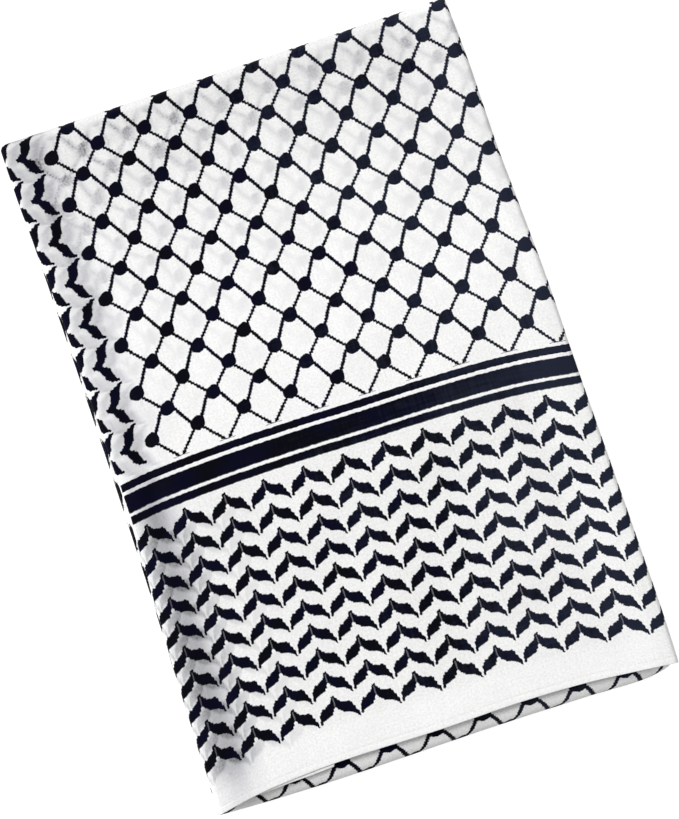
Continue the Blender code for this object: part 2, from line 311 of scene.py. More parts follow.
def side_profile(left, right, radius, inset):
    """The strip's section at every station: x, depth under the outer face, and x as if unrolled.

    Each side is a half circle of the side radius between the flat and the turned-in lip; inset
    moves the section in towards the middle of the fold.
    """
    turn = radius - inset
    angle = np.linspace(-np.pi / 2.0, np.pi / 2.0, 15)[None, :]
    lips = np.linspace(1.0, 0.25, 4)[None, :]
    reach = LIP - radius
    arc = radius * (np.pi / 2.0 - angle)
    flat = np.linspace(0.0, 1.0, ACROSS + 2)[None, 1:-1]
    depth_lip = np.broadcast_to(2.0 * radius - inset, (len(left), lips.shape[1]))
    bulge, sink = turn * np.cos(angle), radius - turn * np.sin(angle)
    start, end = left + radius, right - radius
    left_x = np.hstack([start + lips * reach, start - bulge])
    left_u = np.hstack([start - np.pi * radius - lips * reach, start - arc])
    right_x = np.hstack([end + bulge[:, ::-1], end - lips[:, ::-1] * reach])
    right_u = np.hstack([end + arc[:, ::-1], end + np.pi * radius + lips[:, ::-1] * reach])
    middle = start + flat * (end - start)
    x = np.hstack([left_x, middle, right_x])
    unrolled = np.hstack([left_u, middle, right_u])
    level = np.broadcast_to(inset, middle.shape)
    depth = np.hstack([depth_lip, sink, level, sink[:, ::-1], depth_lip])
    return x, depth, unrolled


def length_run(a, b):
    """Length run along each row of points, from the two coordinates that change along it."""
    steps = [np.diff(c, axis=1, prepend=c[:, :1]) for c in (a, b)]
    return np.cumsum(np.hypot(*steps), axis=1)


def mesh_object(name, points, faces, material):
    """A smooth-shaded object from points in millimetres and faces that number its points."""
    mesh = bpy.data.meshes.new(name)
    placed = (points.reshape(-1, 3) + CENTRE_SHIFT) * MM
    mesh.from_pydata(placed.tolist(), [], faces)
    mesh.polygons.foreach_set("use_smooth", np.ones(len(mesh.polygons), dtype=bool))
    mesh.materials.append(material)
    made = bpy.data.objects.new(name, mesh)
    bpy.context.scene.collection.objects.link(made)
    return made


def sheet_mesh(name, points, uv, material, closed=False):
    """A mesh object from a grid of points in millimetres, with its flat-cut map in metres.

    Its quads join each grid row to the next; closed joins the last column to the first.
    """
    rows, columns = points.shape[:2]
    grid = np.arange(rows * columns).reshape(rows, columns)
    following = np.roll(grid, -1, axis=1) if closed else grid[:, 1:]
    here = grid if closed else grid[:, :-1]
    quads = np.stack([here[:-1], following[:-1], following[1:], here[1:]], axis=-1).reshape(-1, 4)
    made = mesh_object(name, points, quads.tolist(), material)
    layer = made.data.uv_layers.new(name="flat_cut")
    corner = np.empty(len(made.data.loops), dtype=np.int32)
    made.data.loops.foreach_get("vertex_index", corner)
    layer.data.foreach_set("uv", (uv.reshape(-1, 2)[corner] * MM).astype(np.float32).ravel())
    return made


class Signal:
    """An output of a shader node. Arithmetic on it adds Math nodes to the same material."""

    def __init__(self, tree, socket):
        self.tree = tree
        self.socket = socket

    def node(self, kind, settings=(), values=(), output=0):
        """Add a node: first its settings or its chart, then its sockets' values or links."""
        made = self.tree.nodes.new(kind)
        for name, value in dict(settings).items():
            if name == "chart":
                line = made.mapping.curves[0]
                for _ in value[2:]:
                    line.points.new(0.5, 0.5)
                for point, place in zip(line.points, value, strict=True):
                    point.location = place
                    point.handle_type = "VECTOR"
                made.mapping.extend = "HORIZONTAL"
                made.mapping.update()
            else:
                setattr(made, name, value)
        for name, value in dict(values).items():
            if isinstance(value, Signal):
                self.tree.links.new(value.socket, made.inputs[name])
            else:
                made.inputs[name].default_value = value
        return Signal(self.tree, made.outputs[output])

    def math(self, operation, *others):
        """Add a Math node that works on this value and the others in turn."""
        values = dict(enumerate((self, *others)))
        return self.node("ShaderNodeMath", {"operation": operation}, values)

    def __add__(self, other):
        return self.math("ADD", other)

    __radd__ = __add__

    def __sub__(self, other):
        return self.math("SUBTRACT", other)

    def __rsub__(self, other):
        return self.math("MULTIPLY_ADD", -1.0, other)

    def __mul__(self, other):
        return self.math("MULTIPLY", other)

    def __truediv__(self, other):
        return self.math("DIVIDE", other)

    def __mod__(self, other):
        return self.math("FLOORED_MODULO", other)

    def __abs__(self):
        return self.math("ABSOLUTE")

    def either(self, other):
        """The union of two figures given as depths inside their edges."""
        return self.math("MAXIMUM", other)

    def both(self, other):
        """Where two such figures overlap."""
        return self.math("MINIMUM", other)

    def between(self, low, high):
        """Depth inside a bar from low to high."""
        return (self - low).both(high - self)

    def wave(self, pitch):
        """A sine of that pitch, from -1 to 1."""
        return (self * (2.0 * np.pi / pitch)).math("SINE")

    def step(self, pitch):
        """The value snapped to the middle of its thread, at that pitch."""
        return (self / pitch).math("FLOOR") * pitch + 0.5 * pitch

    def mask(self, soft):
        """1 inside a figure and 0 outside, over a soft edge of that width."""
        return self.node(
            "ShaderNodeMath",
            {"operation": "MULTIPLY_ADD", "use_clamp": True},
            {0: self, 1: 1.0 / soft, 2: 0.5},
        )

    def chart(self, points):
        """Height of a given line above this value, straight between its points."""
        points = np.array(points, float)
        low, high = points.min(axis=0), points.max(axis=0)
        share = self.node(
            "ShaderNodeMapRange",
            {"clamp": True},
            {"Value": self, "From Min": low[0], "From Max": high[0]},
        )
        places = [tuple(p) for p in (points - low) / (high - low)]
        line = self.node("ShaderNodeFloatCurve", {"chart": places}, {"Value": share})
        return line * float(high[1] - low[1]) + float(low[1])


STITCH_V = 4.2  # the hem's row of stitches, in from its edge
# The woven figures, in millimetres of flat cloth. u runs across from the left selvedge's side and
# v from the hem's edge. Net: dots in rows, every other row set half a pitch over, joined by links.
NET_PITCH = 31.2  # between columns of dots
NET_ROW = 15.88  # between rows of dots
NET_U = -119.6  # first column of the even rows
NET_V = 234.6  # lowest row of dots, an even one
NET_SKIRT = 16.1  # how far its lowest links reach below the lowest dots' centres
DOT_REACH = 7.0  # the first dots may stand this far left of their column's line
DOT_DROP = 6.0  # and the lowest ones this far below theirs
# A dot is a rounded square that leans over: down from its centre, left edge; and the same, right.
DOT_LEFT = ((-5.1, 2.0), (-4.8, 0.4), (-4.3, -1.0), (-3.6, -2.4), (-2.8, -3.5), (-1.9, -4.3),
            (-0.8, -4.8), (0.6, -5.0), (1.9, -4.9), (2.8, -4.4), (3.6, -3.4), (4.3, -1.9),
            (4.8, 0.5))
DOT_RIGHT = ((-5.1, 0.8), (-4.8, 2.2), (-4.3, 3.2), (-3.4, 4.1), (-2.2, 4.7), (0.0, 4.9),
             (1.3, 4.7), (2.4, 4.2), (3.2, 3.5), (4.0, 2.2), (4.8, -0.6))
# A link's middle line: down from the dot, out from its column. Under an odd row of dots it starts
# further out.
EVEN_LINK = ((0.0, 0.2), (4.0, 3.7), (8.0, 7.3), (12.0, 10.9), (15.88, 14.4))
ODD_LINK = ((0.0, 3.7), (4.0, 6.2), (8.0, 8.5), (12.0, 11.0), (15.88, 13.4))
LINK_LEAN = 0.6  # how far left of its dot's centre a pair of links starts
LINK = 1.3  # half its width
LINK_TOOTH = 1.7  # its edges go in steps of this
FIELD_TURN = 880.0  # past here, on the front fold, the net runs out over the leaf columns' place
NOSE_LINK = 0.3  # and its links are drawn that much broader
# Leaves: pairs of drooping leaves joined at a tip, in rows. Out from the tip, from the left leaf's
# end to the right one's: how far down its upper edge lies; and the same, its lower edge.
LEAF_TOP = ((-12.2, 18.0), (-11.8, 15.0), (-11.6, 11.8), (-10.4, 9.6), (-9.3, 8.0), (-8.0, 6.5),
            (-7.0, 7.0), (-5.6, 5.7), (-3.8, 4.8), (-2.9, 4.4), (-1.8, 3.2), (-1.6, 0.6),
            (-0.5, 0.5), (0.2, 0.0), (1.0, 0.0), (1.4, 0.7), (1.8, 2.1), (2.9, 3.4), (4.1, 4.9),
            (5.9, 5.3), (7.8, 6.2), (8.6, 5.6), (9.4, 5.9), (10.7, 7.2), (11.5, 9.3),
            (12.5, 11.5), (13.3, 13.4), (14.1, 15.8), (14.4, 18.0))
LEAF_FOOT = ((-12.2, 15.0), (-11.7, 16.4), (-11.2, 17.0), (-10.7, 16.6), (-10.2, 15.6),
             (-9.4, 14.5), (-8.0, 14.0), (-6.4, 13.4), (-4.8, 12.7), (-3.1, 12.4), (-2.6, 11.0),
             (-1.5, 10.3), (-1.1, 9.4), (-0.6, 8.0), (0.0, 6.9), (0.6, 8.0), (1.1, 9.6),
             (2.6, 10.4), (4.5, 12.4), (5.8, 12.6), (7.7, 13.2), (8.9, 13.4), (10.9, 14.8),
             (12.5, 16.0), (13.3, 17.5), (14.1, 17.8), (14.4, 16.0))
LEAF_REACH = 12.25  # of the left leaf from the tip
LEAF_PITCH = 26.6  # between pairs in a row
LEAF_ROW = 16.14  # between rows
LEAF_ROWS = 10.0
LEAF_DEPTH = 18.0  # of a pair, from its tip down
LEAF_U, LEAF_V = -7.1, 187.3  # a tip of the uppermost row
LEAF_SLIT = (1.9, 7.0)  # thin line between the two leaves of a pair: down from the tip
SLIT_HALF = 0.3  # half its width
TOOTH = 1.25  # the leaves' slanting edges go in steps of this
# The border's columns are the same pairs turned to point left, a little longer and narrower.
COLUMN_U, COLUMN_V = -172.7, 234.6  # tip line of the first column, and a tip in it
COLUMN_START = 221.6  # front end of the columns
COLUMN_LONGER, COLUMN_NARROWER = 1.0526, 0.9
COLUMN_PITCH = 15.5 / COLUMN_NARROWER  # between columns, on the chart of the leaves
COLUMNS = 3.0
COLUMN_SEAM = 0.15  # how deep the thin line between two leaves is there
# The band between the net and the leaves: lower and upper edge of each bar.
BAND = ((190.5, 195.7), (197.7, 209.3), (211.6, 216.4))
BAND_U = -148.2  # where the band starts at the left
FLOAT = 0.4  # the figures' edges follow threads this far apart
# The layer beneath lies a little aside: how far its net does, and where its leaf rows and its leaf
# columns start.
LOW_NET_ASIDE, LOW_NET_DOWN = 11.2, 1.0
LOW_LEAF_U, LOW_LEAF_V = -2.1, 182.3
LOW_COLUMN_U, LOW_COLUMN_V = -166.0, 231.0
WANDER = 7.0  # how far that net strays from its place
UNDER_V = 458.0  # where the back fold ends and the underside starts
WHITE_COTTON = (0.84, 0.84, 0.835, 1.0)
GREYED_AND_SHADED_COTTON = (0.82, 0.825, 0.86, 1.0)  # white with the layer beneath showing through, and the painted shade of the left valley
NAVY_COTTON = (0.0004, 0.0006, 0.0095, 1.0)
BLACK_COTTON = (0.0003, 0.0007, 0.0035, 1.0)
FADED_NAVY = (0.0128, 0.0158, 0.031, 1.0)


def net(u, v):
    """Depth inside the net's dots and links.

    Between two rows of dots, y is the distance down from the upper one, aside the distance right
    of the nearest upper dot, and beside that of the nearest lower dot.
    """
    rows_up = (v - NET_V) / NET_ROW
    lower = rows_up.math("FLOOR")
    y = (1.0 + lower - rows_up) * NET_ROW
    odd = (lower + 1.0) % 2.0
    half = 0.5 * NET_PITCH
    place = u - NET_U - odd * half
    aside = (place + half) % NET_PITCH - half
    beside = place % NET_PITCH - half
    under = y - NET_ROW
    upper_dot = (aside - y.chart(DOT_LEFT)).both(y.chart(DOT_RIGHT) - aside)
    lower_dot = (beside - under.chart(DOT_LEFT)).both(under.chart(DOT_RIGHT) - beside)
    toothed = y * 0.25 + y.step(LINK_TOOTH) * 0.75
    even_line = toothed.chart(EVEN_LINK)
    line = even_line + odd * (toothed.chart(ODD_LINK) - even_line)
    ground = (u - NET_U).either(v - FIELD_TURN)
    broad = (v - FIELD_TURN).mask(4.0) * NOSE_LINK + LINK
    link = (broad - abs(abs(aside + LINK_LEAN) - line)).both(ground)
    dots = upper_dot.either(lower_dot.both(v - NET_V + DOT_DROP)).both(ground + DOT_REACH)
    return link.either(dots).both(v - NET_V + NET_SKIRT)


def leaves(out, down, row, rows, seam=0.11):
    """Depth inside rows of leaf pairs: out runs along a row from a tip, down from the first tips.

    Each row's own pairs hang into the row below, whose share of them is the tail. The seam is how
    deep the thin line between two leaves still is.
    """
    x = (out + LEAF_REACH) % LEAF_PITCH - LEAF_REACH
    toothed = x * 0.4 + x.step(TOOTH) * 0.6
    top, foot = toothed.chart(LEAF_TOP), toothed.chart(LEAF_FOOT)
    y = down % row
    slit = (abs(x) - SLIT_HALF).either(seam).either((LEAF_SLIT[0] - y).either(y - LEAF_SLIT[1]))
    own = (y - top).both(foot - y).both(slit).both((down * 8.0).both(row * rows - down))
    tail = (y + row - top).both(foot - y - row)
    tail = tail.both(((down - row) * 8.0).both(row * rows + LEAF_DEPTH - row - down))
    return own.either(tail)


def woven(u, v):
    """Depth inside all the figures of the cloth: net, leaf rows, border columns and band."""
    out, down = (v - COLUMN_V) / COLUMN_LONGER, (u - COLUMN_U) / COLUMN_NARROWER
    columns = leaves(out, down, COLUMN_PITCH, COLUMNS, COLUMN_SEAM)
    columns = columns.both(v.between(COLUMN_START, FIELD_TURN))
    bars = v.between(*BAND[0]).either(v.between(*BAND[1])).either(v.between(*BAND[2]))
    figures = net(u, v).either(leaves(u - LEAF_U, LEAF_V - v, LEAF_ROW, LEAF_ROWS))
    return figures.either(columns).either(bars.both(u - BAND_U))


def cotton(name):
    """Plain-woven white cotton with the figures in navy floats, on the map "flat_cut".

    The cloth is thin: the figures of the layer beneath it show through the white as a faint grey.
    Painted shade greys the valley at the left side and the crease near the back fold.
    """
    made = bpy.data.materials.new(name)
    made.use_nodes = True
    tree = made.node_tree
    shader = tree.nodes["Principled BSDF"]
    place = Signal(tree, None).node("ShaderNodeUVMap", {"uv_map": "flat_cut"})
    flat_u = place.node("ShaderNodeSeparateXYZ", (), {0: place}) * 1000.0
    flat_v = place.node("ShaderNodeSeparateXYZ", (), {0: place}, 1) * 1000.0

    def uneven(scale, detail=2.0, stretch=(1.0, 1.0)):
        """Noise from -0.5 to 0.5 on the flat cloth, its size set by scale per metre."""
        spot = place.node(
            "ShaderNodeVectorMath",
            {"operation": "MULTIPLY"},
            {0: place, 1: (*stretch, 1.0)},
        )
        noise = place.node("ShaderNodeTexNoise", {"noise_dimensions": "2D"},
                           {"Vector": spot, "Scale": scale, "Detail": detail})
        return noise - 0.5

    # The figures: threads that wander a little, each float a whole number of threads long.
    u = (flat_u + uneven(420.0) * 0.9).step(FLOAT)
    v = (flat_v + uneven(390.0, 2.0, (1.0, 1.07)) * 0.9).step(FLOAT)
    dark = woven(u, v).mask(0.3)

    # The layer beneath: its net shows more towards the back fold and at the left, and its leaf rows
    # and columns near the left side only.
    speckle = uneven(700.0)
    left_half = (-40.0 - flat_u).mask(150.0)
    back = (flat_v - 330.0).mask(190.0) + (flat_v - 412.0).mask(40.0) * 0.4
    before_fold = (UNDER_V - flat_v).mask(4.0)  # on the underside nothing shows through
    low_u = flat_u + LOW_NET_ASIDE + uneven(50.0, 3.0) * WANDER
    low_v = flat_v + LOW_NET_DOWN + uneven(46.0, 3.0) * WANDER
    under = net(low_u, low_v) + speckle * 3.0
    low_net = under.mask(5.5) * 0.5 + (under - 1.0).mask(5.0) * 0.5
    low_net = low_net * back * (1.3 + uneven(60.0) * 1.4)
    low_net = low_net * (436.0 - flat_v).mask(8.0) * (left_half * 0.4 + 0.6)
    low_rows = leaves(flat_u - LOW_LEAF_U, LOW_LEAF_V - flat_v, LEAF_ROW, LEAF_ROWS).mask(2.5)
    low_rows = low_rows * (-95.0 - flat_u).mask(60.0)
    out = (flat_v - LOW_COLUMN_V) / COLUMN_LONGER
    down = (flat_u - LOW_COLUMN_U) / COLUMN_NARROWER
    low_columns = leaves(out, down, COLUMN_PITCH, COLUMNS).mask(5.0)
    low_columns = low_columns * (flat_v - 200.0).mask(20.0) * before_fold
    beneath = low_net.either(low_rows * 0.8).either(low_columns * 0.65) * (1.0 + speckle * 2.0)

    # The turned-in left side: the doubled cloth shows through, and a painted shade of the valley
    # beside the left fold lies over it, greyer still beside the leaf rows.
    lip = (12.0 - abs(flat_u + 131.0 + uneven(12.0) * 8.0)).mask(16.0) * (1.0 + uneven(30.0))
    lip = lip * (flat_v - 6.0).mask(36.0) * before_fold
    lip_and_valley_shade = lip * (0.2 + (204.0 - flat_v).mask(30.0) * 0.2 + speckle * 0.15)
    # From here beneath holds the show-through and the painted valley shade.
    beneath = beneath * 0.31 + lip_and_valley_shade

    # Plain weave, uneven yarn along both threads, and the slow patches of a cloth in use.
    weave = flat_u.wave(1.1) * flat_v.wave(1.1)
    slub = uneven(330.0, 3.0, (0.12, 1.6)) + uneven(330.0, 3.0, (1.6, 0.12))
    worn = uneven(16.0, 3.0)
    # A little grey lies on the leaf rows, and towards the back fold a painted shade of its crease
    # and fold; none at the right edge.
    grey_and_back_shade = flat_v.between(24.0, 192.0).mask(8.0) * 0.055 + (flat_v - 400.0).mask(80.0) * 0.13
    grey_and_back_shade = grey_and_back_shade * (128.0 - flat_u).mask(40.0)
    lift = 1.0 - beneath - grey_and_back_shade + speckle * 0.3 + slub * 0.06 + weave * 0.015 + worn * 0.05
    shade = place.node("ShaderNodeMix", {"data_type": "RGBA"},
                       {0: beneath * 2.5, 6: WHITE_COTTON, 7: GREYED_AND_SHADED_COTTON}, 2)
    white = place.node("ShaderNodeMix", {"data_type": "RGBA", "blend_type": "MULTIPLY"},
                       {0: 1.0, 6: shade, 7: lift}, 2)
    blue = place.node("ShaderNodeMix", {"data_type": "RGBA"},
                      {0: uneven(38.0, 1.0).mask(0.22), 6: BLACK_COTTON, 7: NAVY_COTTON}, 2)
    ink = place.node("ShaderNodeMix", {"data_type": "RGBA"},
                     {0: ((flat_u - 70.0) / 150.0 + worn * 1.2 + slub * 0.9).mask(1.0),
                      6: blue, 7: FADED_NAVY}, 2)
    colour = place.node("ShaderNodeMix", {"data_type": "RGBA"}, {0: dark, 6: white, 7: ink}, 2)
    tree.links.new(colour.socket, shader.inputs["Base Color"])
    rough = 0.88 - dark * 0.12 + slub * 0.1
    tree.links.new(rough.socket, shader.inputs["Roughness"])
    shader.inputs["Specular IOR Level"].default_value = 0.06
    shader.inputs["Sheen Weight"].default_value = 0.02
    shader.inputs["Sheen Roughness"].default_value = 0.5
    seam = (0.5 - abs(flat_v - STITCH_V)).mask(1.0)  # pressed line where the hem is stitched down
    height = dark * 0.16 + weave * 0.06 + slub * 0.14 + uneven(60.0, 3.0) * 0.6 - seam * 0.3
    bump = place.node("ShaderNodeBump", (), {"Strength": 0.6, "Distance": MM, "Height": height})
    tree.links.new(bump.socket, shader.inputs["Normal"])
    return made


# The sheet's form. The hem's curve bends the top third and the tuck, and the front line the fold.
path_y, path_z, out_y, out_z, radius, inset, run, top = fold_path()
left, right = (
    top * along(TOP_OUTLINE, path_y, side) + (1.0 - top) * along(UNDER_OUTLINE, path_y, side)
    for side in (LEFT, RIGHT)
)
x, depth, unrolled = side_profile(left, right, radius, inset)
flat_top = (top == 1.0).astype(float)
nose = np.clip(FRONT_FOLD_Y - path_y, 0.0, None) / FRONT_REACH * (1.0 - flat_top)
tucked = np.zeros_like(flat_top)
tucked[-TUCK_STATIONS:, 0] = np.linspace(0.2, 1.0, TUCK_STATIONS)
hem_bend = along(HEM_LINE, x) - HEM_Y
y = path_y - depth * out_y + flat_top * hem_share(path_y) * hem_bend
y += nose * (along(FRONT_LINE, x) - (FRONT_FOLD_Y - FRONT_REACH)) + tucked * hem_bend
inner = np.clip(1.0 - depth / (2.0 * radius), 0.0, 1.0)
from_side = np.minimum(x - left, right - x)
droop = EDGE_DROOP * np.exp(-((from_side / EDGE_DROOP_WIDTH) ** 2))
fade = flat_top * (1.0 - smooth((path_y - 200.0) / 18.0))
rise = relief(x, path_y) * smooth((from_side - 3.0) / 8.0) - droop
z = path_z - depth * out_z + fade * inner * rise
points = np.stack([x, y, z], axis=-1)

# Its map. Across, the top third's threads are spread between the warp line and the right edge, and
# the underside's are a little stretched. Along, the weft sags, and near the hem it sags more.
TOP_WARP_U = -149.1  # place of the warp line on the flat cloth
TOP_SPREAD = 301.8  # flat cloth from there to the right edge
UNDER_SHIFT, UNDER_STRETCH = 1.3, 1.019
sag = along(WEFT_SAG, x) * along(SAG_ALONG, path_y) * (1.0 - hem_share(path_y))
hem_sag = along(HEM_SAG, x) * along(HEM_SAG_ALONG, path_y)
v = run + top * (sag + along(WEFT_EASE, path_y) + hem_sag)
v += 0.6 * smooth((x + 30.0) / 110.0) * smooth((path_y + 50.0) / 30.0) * top
v += 2.7 * smooth((x - 50.0) / 60.0) * smooth((-190.0 - path_y) / 20.0) * (top == 0.0)
warp = along(TOP_OUTLINE, path_y, WARP)
u_top = TOP_WARP_U + (unrolled - warp) / (right - warp) * TOP_SPREAD
u_top += along(WARP_EASE, path_y) * smooth((50.0 - x) / 170.0) - smooth((x - 60.0) / 70.0)
u_under = (unrolled - UNDER_SHIFT) / UNDER_STRETCH + 2.5 * smooth((-128.0 - x) / 26.0)
u_under = u_under - 3.0 * smooth(2.0 * path_z / C_TOP - 1.0) * (path_y < -190.0)
uv = np.stack([top * u_top + (1.0 - top) * u_under, v], axis=-1)
outer_cotton = cotton("navy_and_white_cotton")
outer_cloth = sheet_mesh("outer_cloth", points, uv, outer_cotton)
wall = outer_cloth.modifiers.new("thickness", "SOLIDIFY")
wall.thickness = CLOTH * MM
wall.offset = -1.0
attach(outer_cloth, "root")
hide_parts("outer_panel")

# Hidden layers: the rest of the square, eleven layers between the outer cloth's faces. They make
# one soft rounded body of the same cotton. At the sides its folds show one over another: the
# tucked third's two folds, between the turned-in sides of the top third and of the underside.
WALL = 1.2  # outer layer's wall and its pile, which the hidden layers leave free
GAP = 0.3  # between that and the hidden layers
INNER = WALL + GAP
WEB = LIP + 0.5  # inset of the hidden layers between the turned-in sides
TUCK_END_Y = 67.0  # where the tucked third ends
FOLD_GAP = 0.6  # how far the tucked third's folds stay inside the underside's
DRAWN_IN = 1.4  # and how much further in one may lie


def hidden_stations():
    """Stations along the hidden body: y, top, foot, whole, and how open A, C and B are.

    A lies in the top third's turned-in sides, C is the tucked third and B lies in the underside's
    sides. whole is 1 where the body has its full height and 0 inside the front and back folds.
    """
    rows = []
    half = C_TOP / 2.0
    for share in np.cos(np.linspace(0.25, np.pi / 2.0, 8)):
        rise = (half - INNER) * np.sqrt(1.0 - share**2)
        y = FRONT_FOLD_Y - share * (FRONT_REACH - INNER)
        rows.append((y, half + rise, half - rise, 0, 0, 0, 0))
    rows.append((TUCK_Y + 0.3, C_TOP - INNER, INNER, 0, 0, 0, 0))
    rows.append((TUCK_Y + 0.5, 0, INNER, 1, 0, 0, 0))
    rows.append((TUCK_Y + 1.2, 0, INNER, 1, 1, 0, 0))
    for y in np.arange(-203.0, 215.0, 3.0):
        open_c = smooth((y + 207.0) / 6.0) * smooth((TUCK_END_Y - y) / 5.0)
        rows.append((y, 0, INNER, 1, 1, open_c, smooth((y + 179.0) / 6.0)))
    rows.append((217.0, 0, INNER, 1, 0, 0, 0))
    rows.append((BACK_FOLD_Y, 0, INNER, 1, 0, 0, 0))
    radius = BACK_HEIGHT / 2.0
    for share in np.sin(np.linspace(0.2, 1.3, 6)):
        rise = (radius - INNER) * np.sqrt(1.0 - share**2)
        y = BACK_FOLD_Y + share * (radius - INNER)
        rows.append((y, radius + rise, radius - rise, 0, 0, 0, 0))
    return np.array(rows).T[:, :, None]


def uneven_edge(y, seed):
    """A slow wander of a fold's edge along the pile, from -1 to 1."""
    return 0.6 * np.sin(y / 31.0 + 2.1 * seed) + 0.4 * np.sin(y / 12.7 + 4.7 * seed)


def hidden_side(y, thirds, outlines, column, sign, seed):
    """One side of the hidden body from top to foot: x and z.

    Each third is a stack of half circles that starts and ends at the web between them.
    """
    web = np.minimum(*(sign * along(t, y, column) for t in outlines)) - WEB
    angle = np.linspace(np.pi / 2.0, -np.pi / 2.0, 9)[None, :]
    xs, zs = [], []
    for number, (top, foot, opened, folds, outline, recess) in enumerate(thirds):
        edge = sign * along(outline, y, column) - recess
        radius = (top - foot) / (2.0 * folds)
        loose = DRAWN_IN if folds > 1 else 0.0
        xs.append(web)
        zs.append(top)
        for fold in range(folds):
            drawn_in = (0.5 + 0.5 * uneven_edge(y, seed + number + 1.7 * fold)) * loose
            full = edge - radius - drawn_in
            start = web + 0.1 + opened * (full - web - 0.1)
            reach = 0.15 + opened * (radius - 0.15)
            xs.append(start + reach * np.cos(angle))
            zs.append(top - radius * (2 * fold + 1) + 0.97 * radius * np.sin(angle))
        xs.append(web)
        zs.append(foot)
    return sign * np.hstack(xs), np.hstack(zs)


y, top, foot, whole, open_a, open_c, open_b = hidden_stations()
pile = top_height(y)
a_top = whole * (pile - INNER) + (1.0 - whole) * top
a_foot = whole * (pile - 2.0 * SIDE_RADIUS + INNER) + (1.0 - whole) * (top - 0.1)
c_top = whole * (pile - 2.0 * SIDE_RADIUS - GAP) + (1.0 - whole) * (top - 0.2)
c_foot = np.minimum(2.0 * side_radius(y) + GAP, c_top - 0.3)
c_foot = whole * c_foot + (1.0 - whole) * (foot + 0.3)
b_top = np.minimum(2.0 * side_radius(y) - INNER, c_foot - 0.1)
b_top = whole * b_top + (1.0 - whole) * (foot + 0.2)
thirds = (
    (a_top, a_foot, open_a, 1, TOP_OUTLINE, INNER),
    (c_top, c_foot, open_c, 2, UNDER_OUTLINE, FOLD_GAP),
    (b_top, foot, open_b, 1, UNDER_OUTLINE, INNER),
)
outlines = (TOP_OUTLINE, UNDER_OUTLINE)
right_x, right_z = hidden_side(y, thirds, outlines, RIGHT, 1.0, 0.3)
left_x, left_z = hidden_side(y, thirds, outlines, LEFT, -1.0, 5.1)
across = np.ones_like(y) * np.linspace(-142.0, 142.0, 95)
x = np.hstack([across, right_x, across[:, ::-1], left_x[:, ::-1]])
level = np.ones_like(across)
z = np.hstack([level * a_top, right_z, level * foot, left_z[:, ::-1]])
upper = whole * (z > c_top + 0.05)
nose = np.clip(FRONT_FOLD_Y - y, 0.0, None) / FRONT_REACH
hem_bend = along(HEM_LINE, x) - HEM_Y
bent_y = y + upper * hem_share(y) * hem_bend
bent_y += nose * (along(FRONT_LINE, x) - (FRONT_FOLD_Y - FRONT_REACH))
bent_y += (y > FRONT_FOLD_Y + 1.0) * (whole == 0.0) * (y < 0.0) * hem_bend
fade = whole * (1.0 - smooth((y - 200.0) / 18.0)) * (z > a_top - 0.05)
z = z + fade * (relief(x, y) - 0.15) * smooth((150.0 - abs(x)) / 8.0)
points = np.stack([x, bent_y, z], axis=-1)
u, v = length_run(x, z) - 300.0, np.repeat(460.0 + y, x.shape[1], axis=1)
# At the left the tucked third's folds carry the border's leaves, as the underside does. These are
# the places of their outermost line and of the back fold's start, and how the cloth runs on there.
SIDE_U, SIDE_SPREAD = -150.4, 1.2
SIDE_V, SIDE_EASE = 459.5, 0.98
outermost = along(UNDER_OUTLINE, y, LEFT) + FOLD_GAP
u[:, -left_x.shape[1]:] = SIDE_U - SIDE_SPREAD * (left_x[:, ::-1] - outermost)
v[:, -left_x.shape[1]:] = SIDE_V + SIDE_EASE * (BACK_FOLD_Y - y)
uv = np.stack([u, v], axis=-1)
hidden_layers = sheet_mesh("hidden_layers", points, uv, outer_cotton, closed=True)


def close_ends(piece, columns):
    """Fill the first and the last ring of a closed tube, each as one face that looks outward."""
    mesh = bmesh.new()
    mesh.from_mesh(piece.data)
    mesh.verts.ensure_lookup_table()
    rings = (range(columns), range(len(mesh.verts) - 1, len(mesh.verts) - columns - 1, -1))
    for ring in rings:
        mesh.faces.new([mesh.verts[i] for i in ring])
    bmesh.ops.recalc_face_normals(mesh, faces=mesh.faces)
    mesh.to_mesh(piece.data)
    mesh.free()


close_ends(hidden_layers, x.shape[1])
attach(hidden_layers, "root")
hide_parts("folded_layers")

# End hems: the rolled edges of the top third's four layers, stacked under its front edge and
# stepped back a little unevenly. The uppermost peeps out past the edge above it at the left.
HEM_REACH = (
    (-152.0, -0.5),
    (-130.0, -0.4),
    (-124.0, 0.9),
    (-112.0, 1.6),
    (-90.0, 2.4),
    (-75.5, 2.1),
    (-74.0, -0.5),
    (152.0, -0.5),
)
# Each rolled edge: how far back it lies, its top and its foot.
ROLLS = ((0.0, 17.5, 16.3), (0.7, 16.15, 15.2), (0.1, 15.05, 14.1), (1.0, 13.95, 13.0))
ROLLS_TOP, ROLLS_FOOT = 17.5, 13.0
ROLL_FLAT = 5.0  # from the edge back to where the rolls part


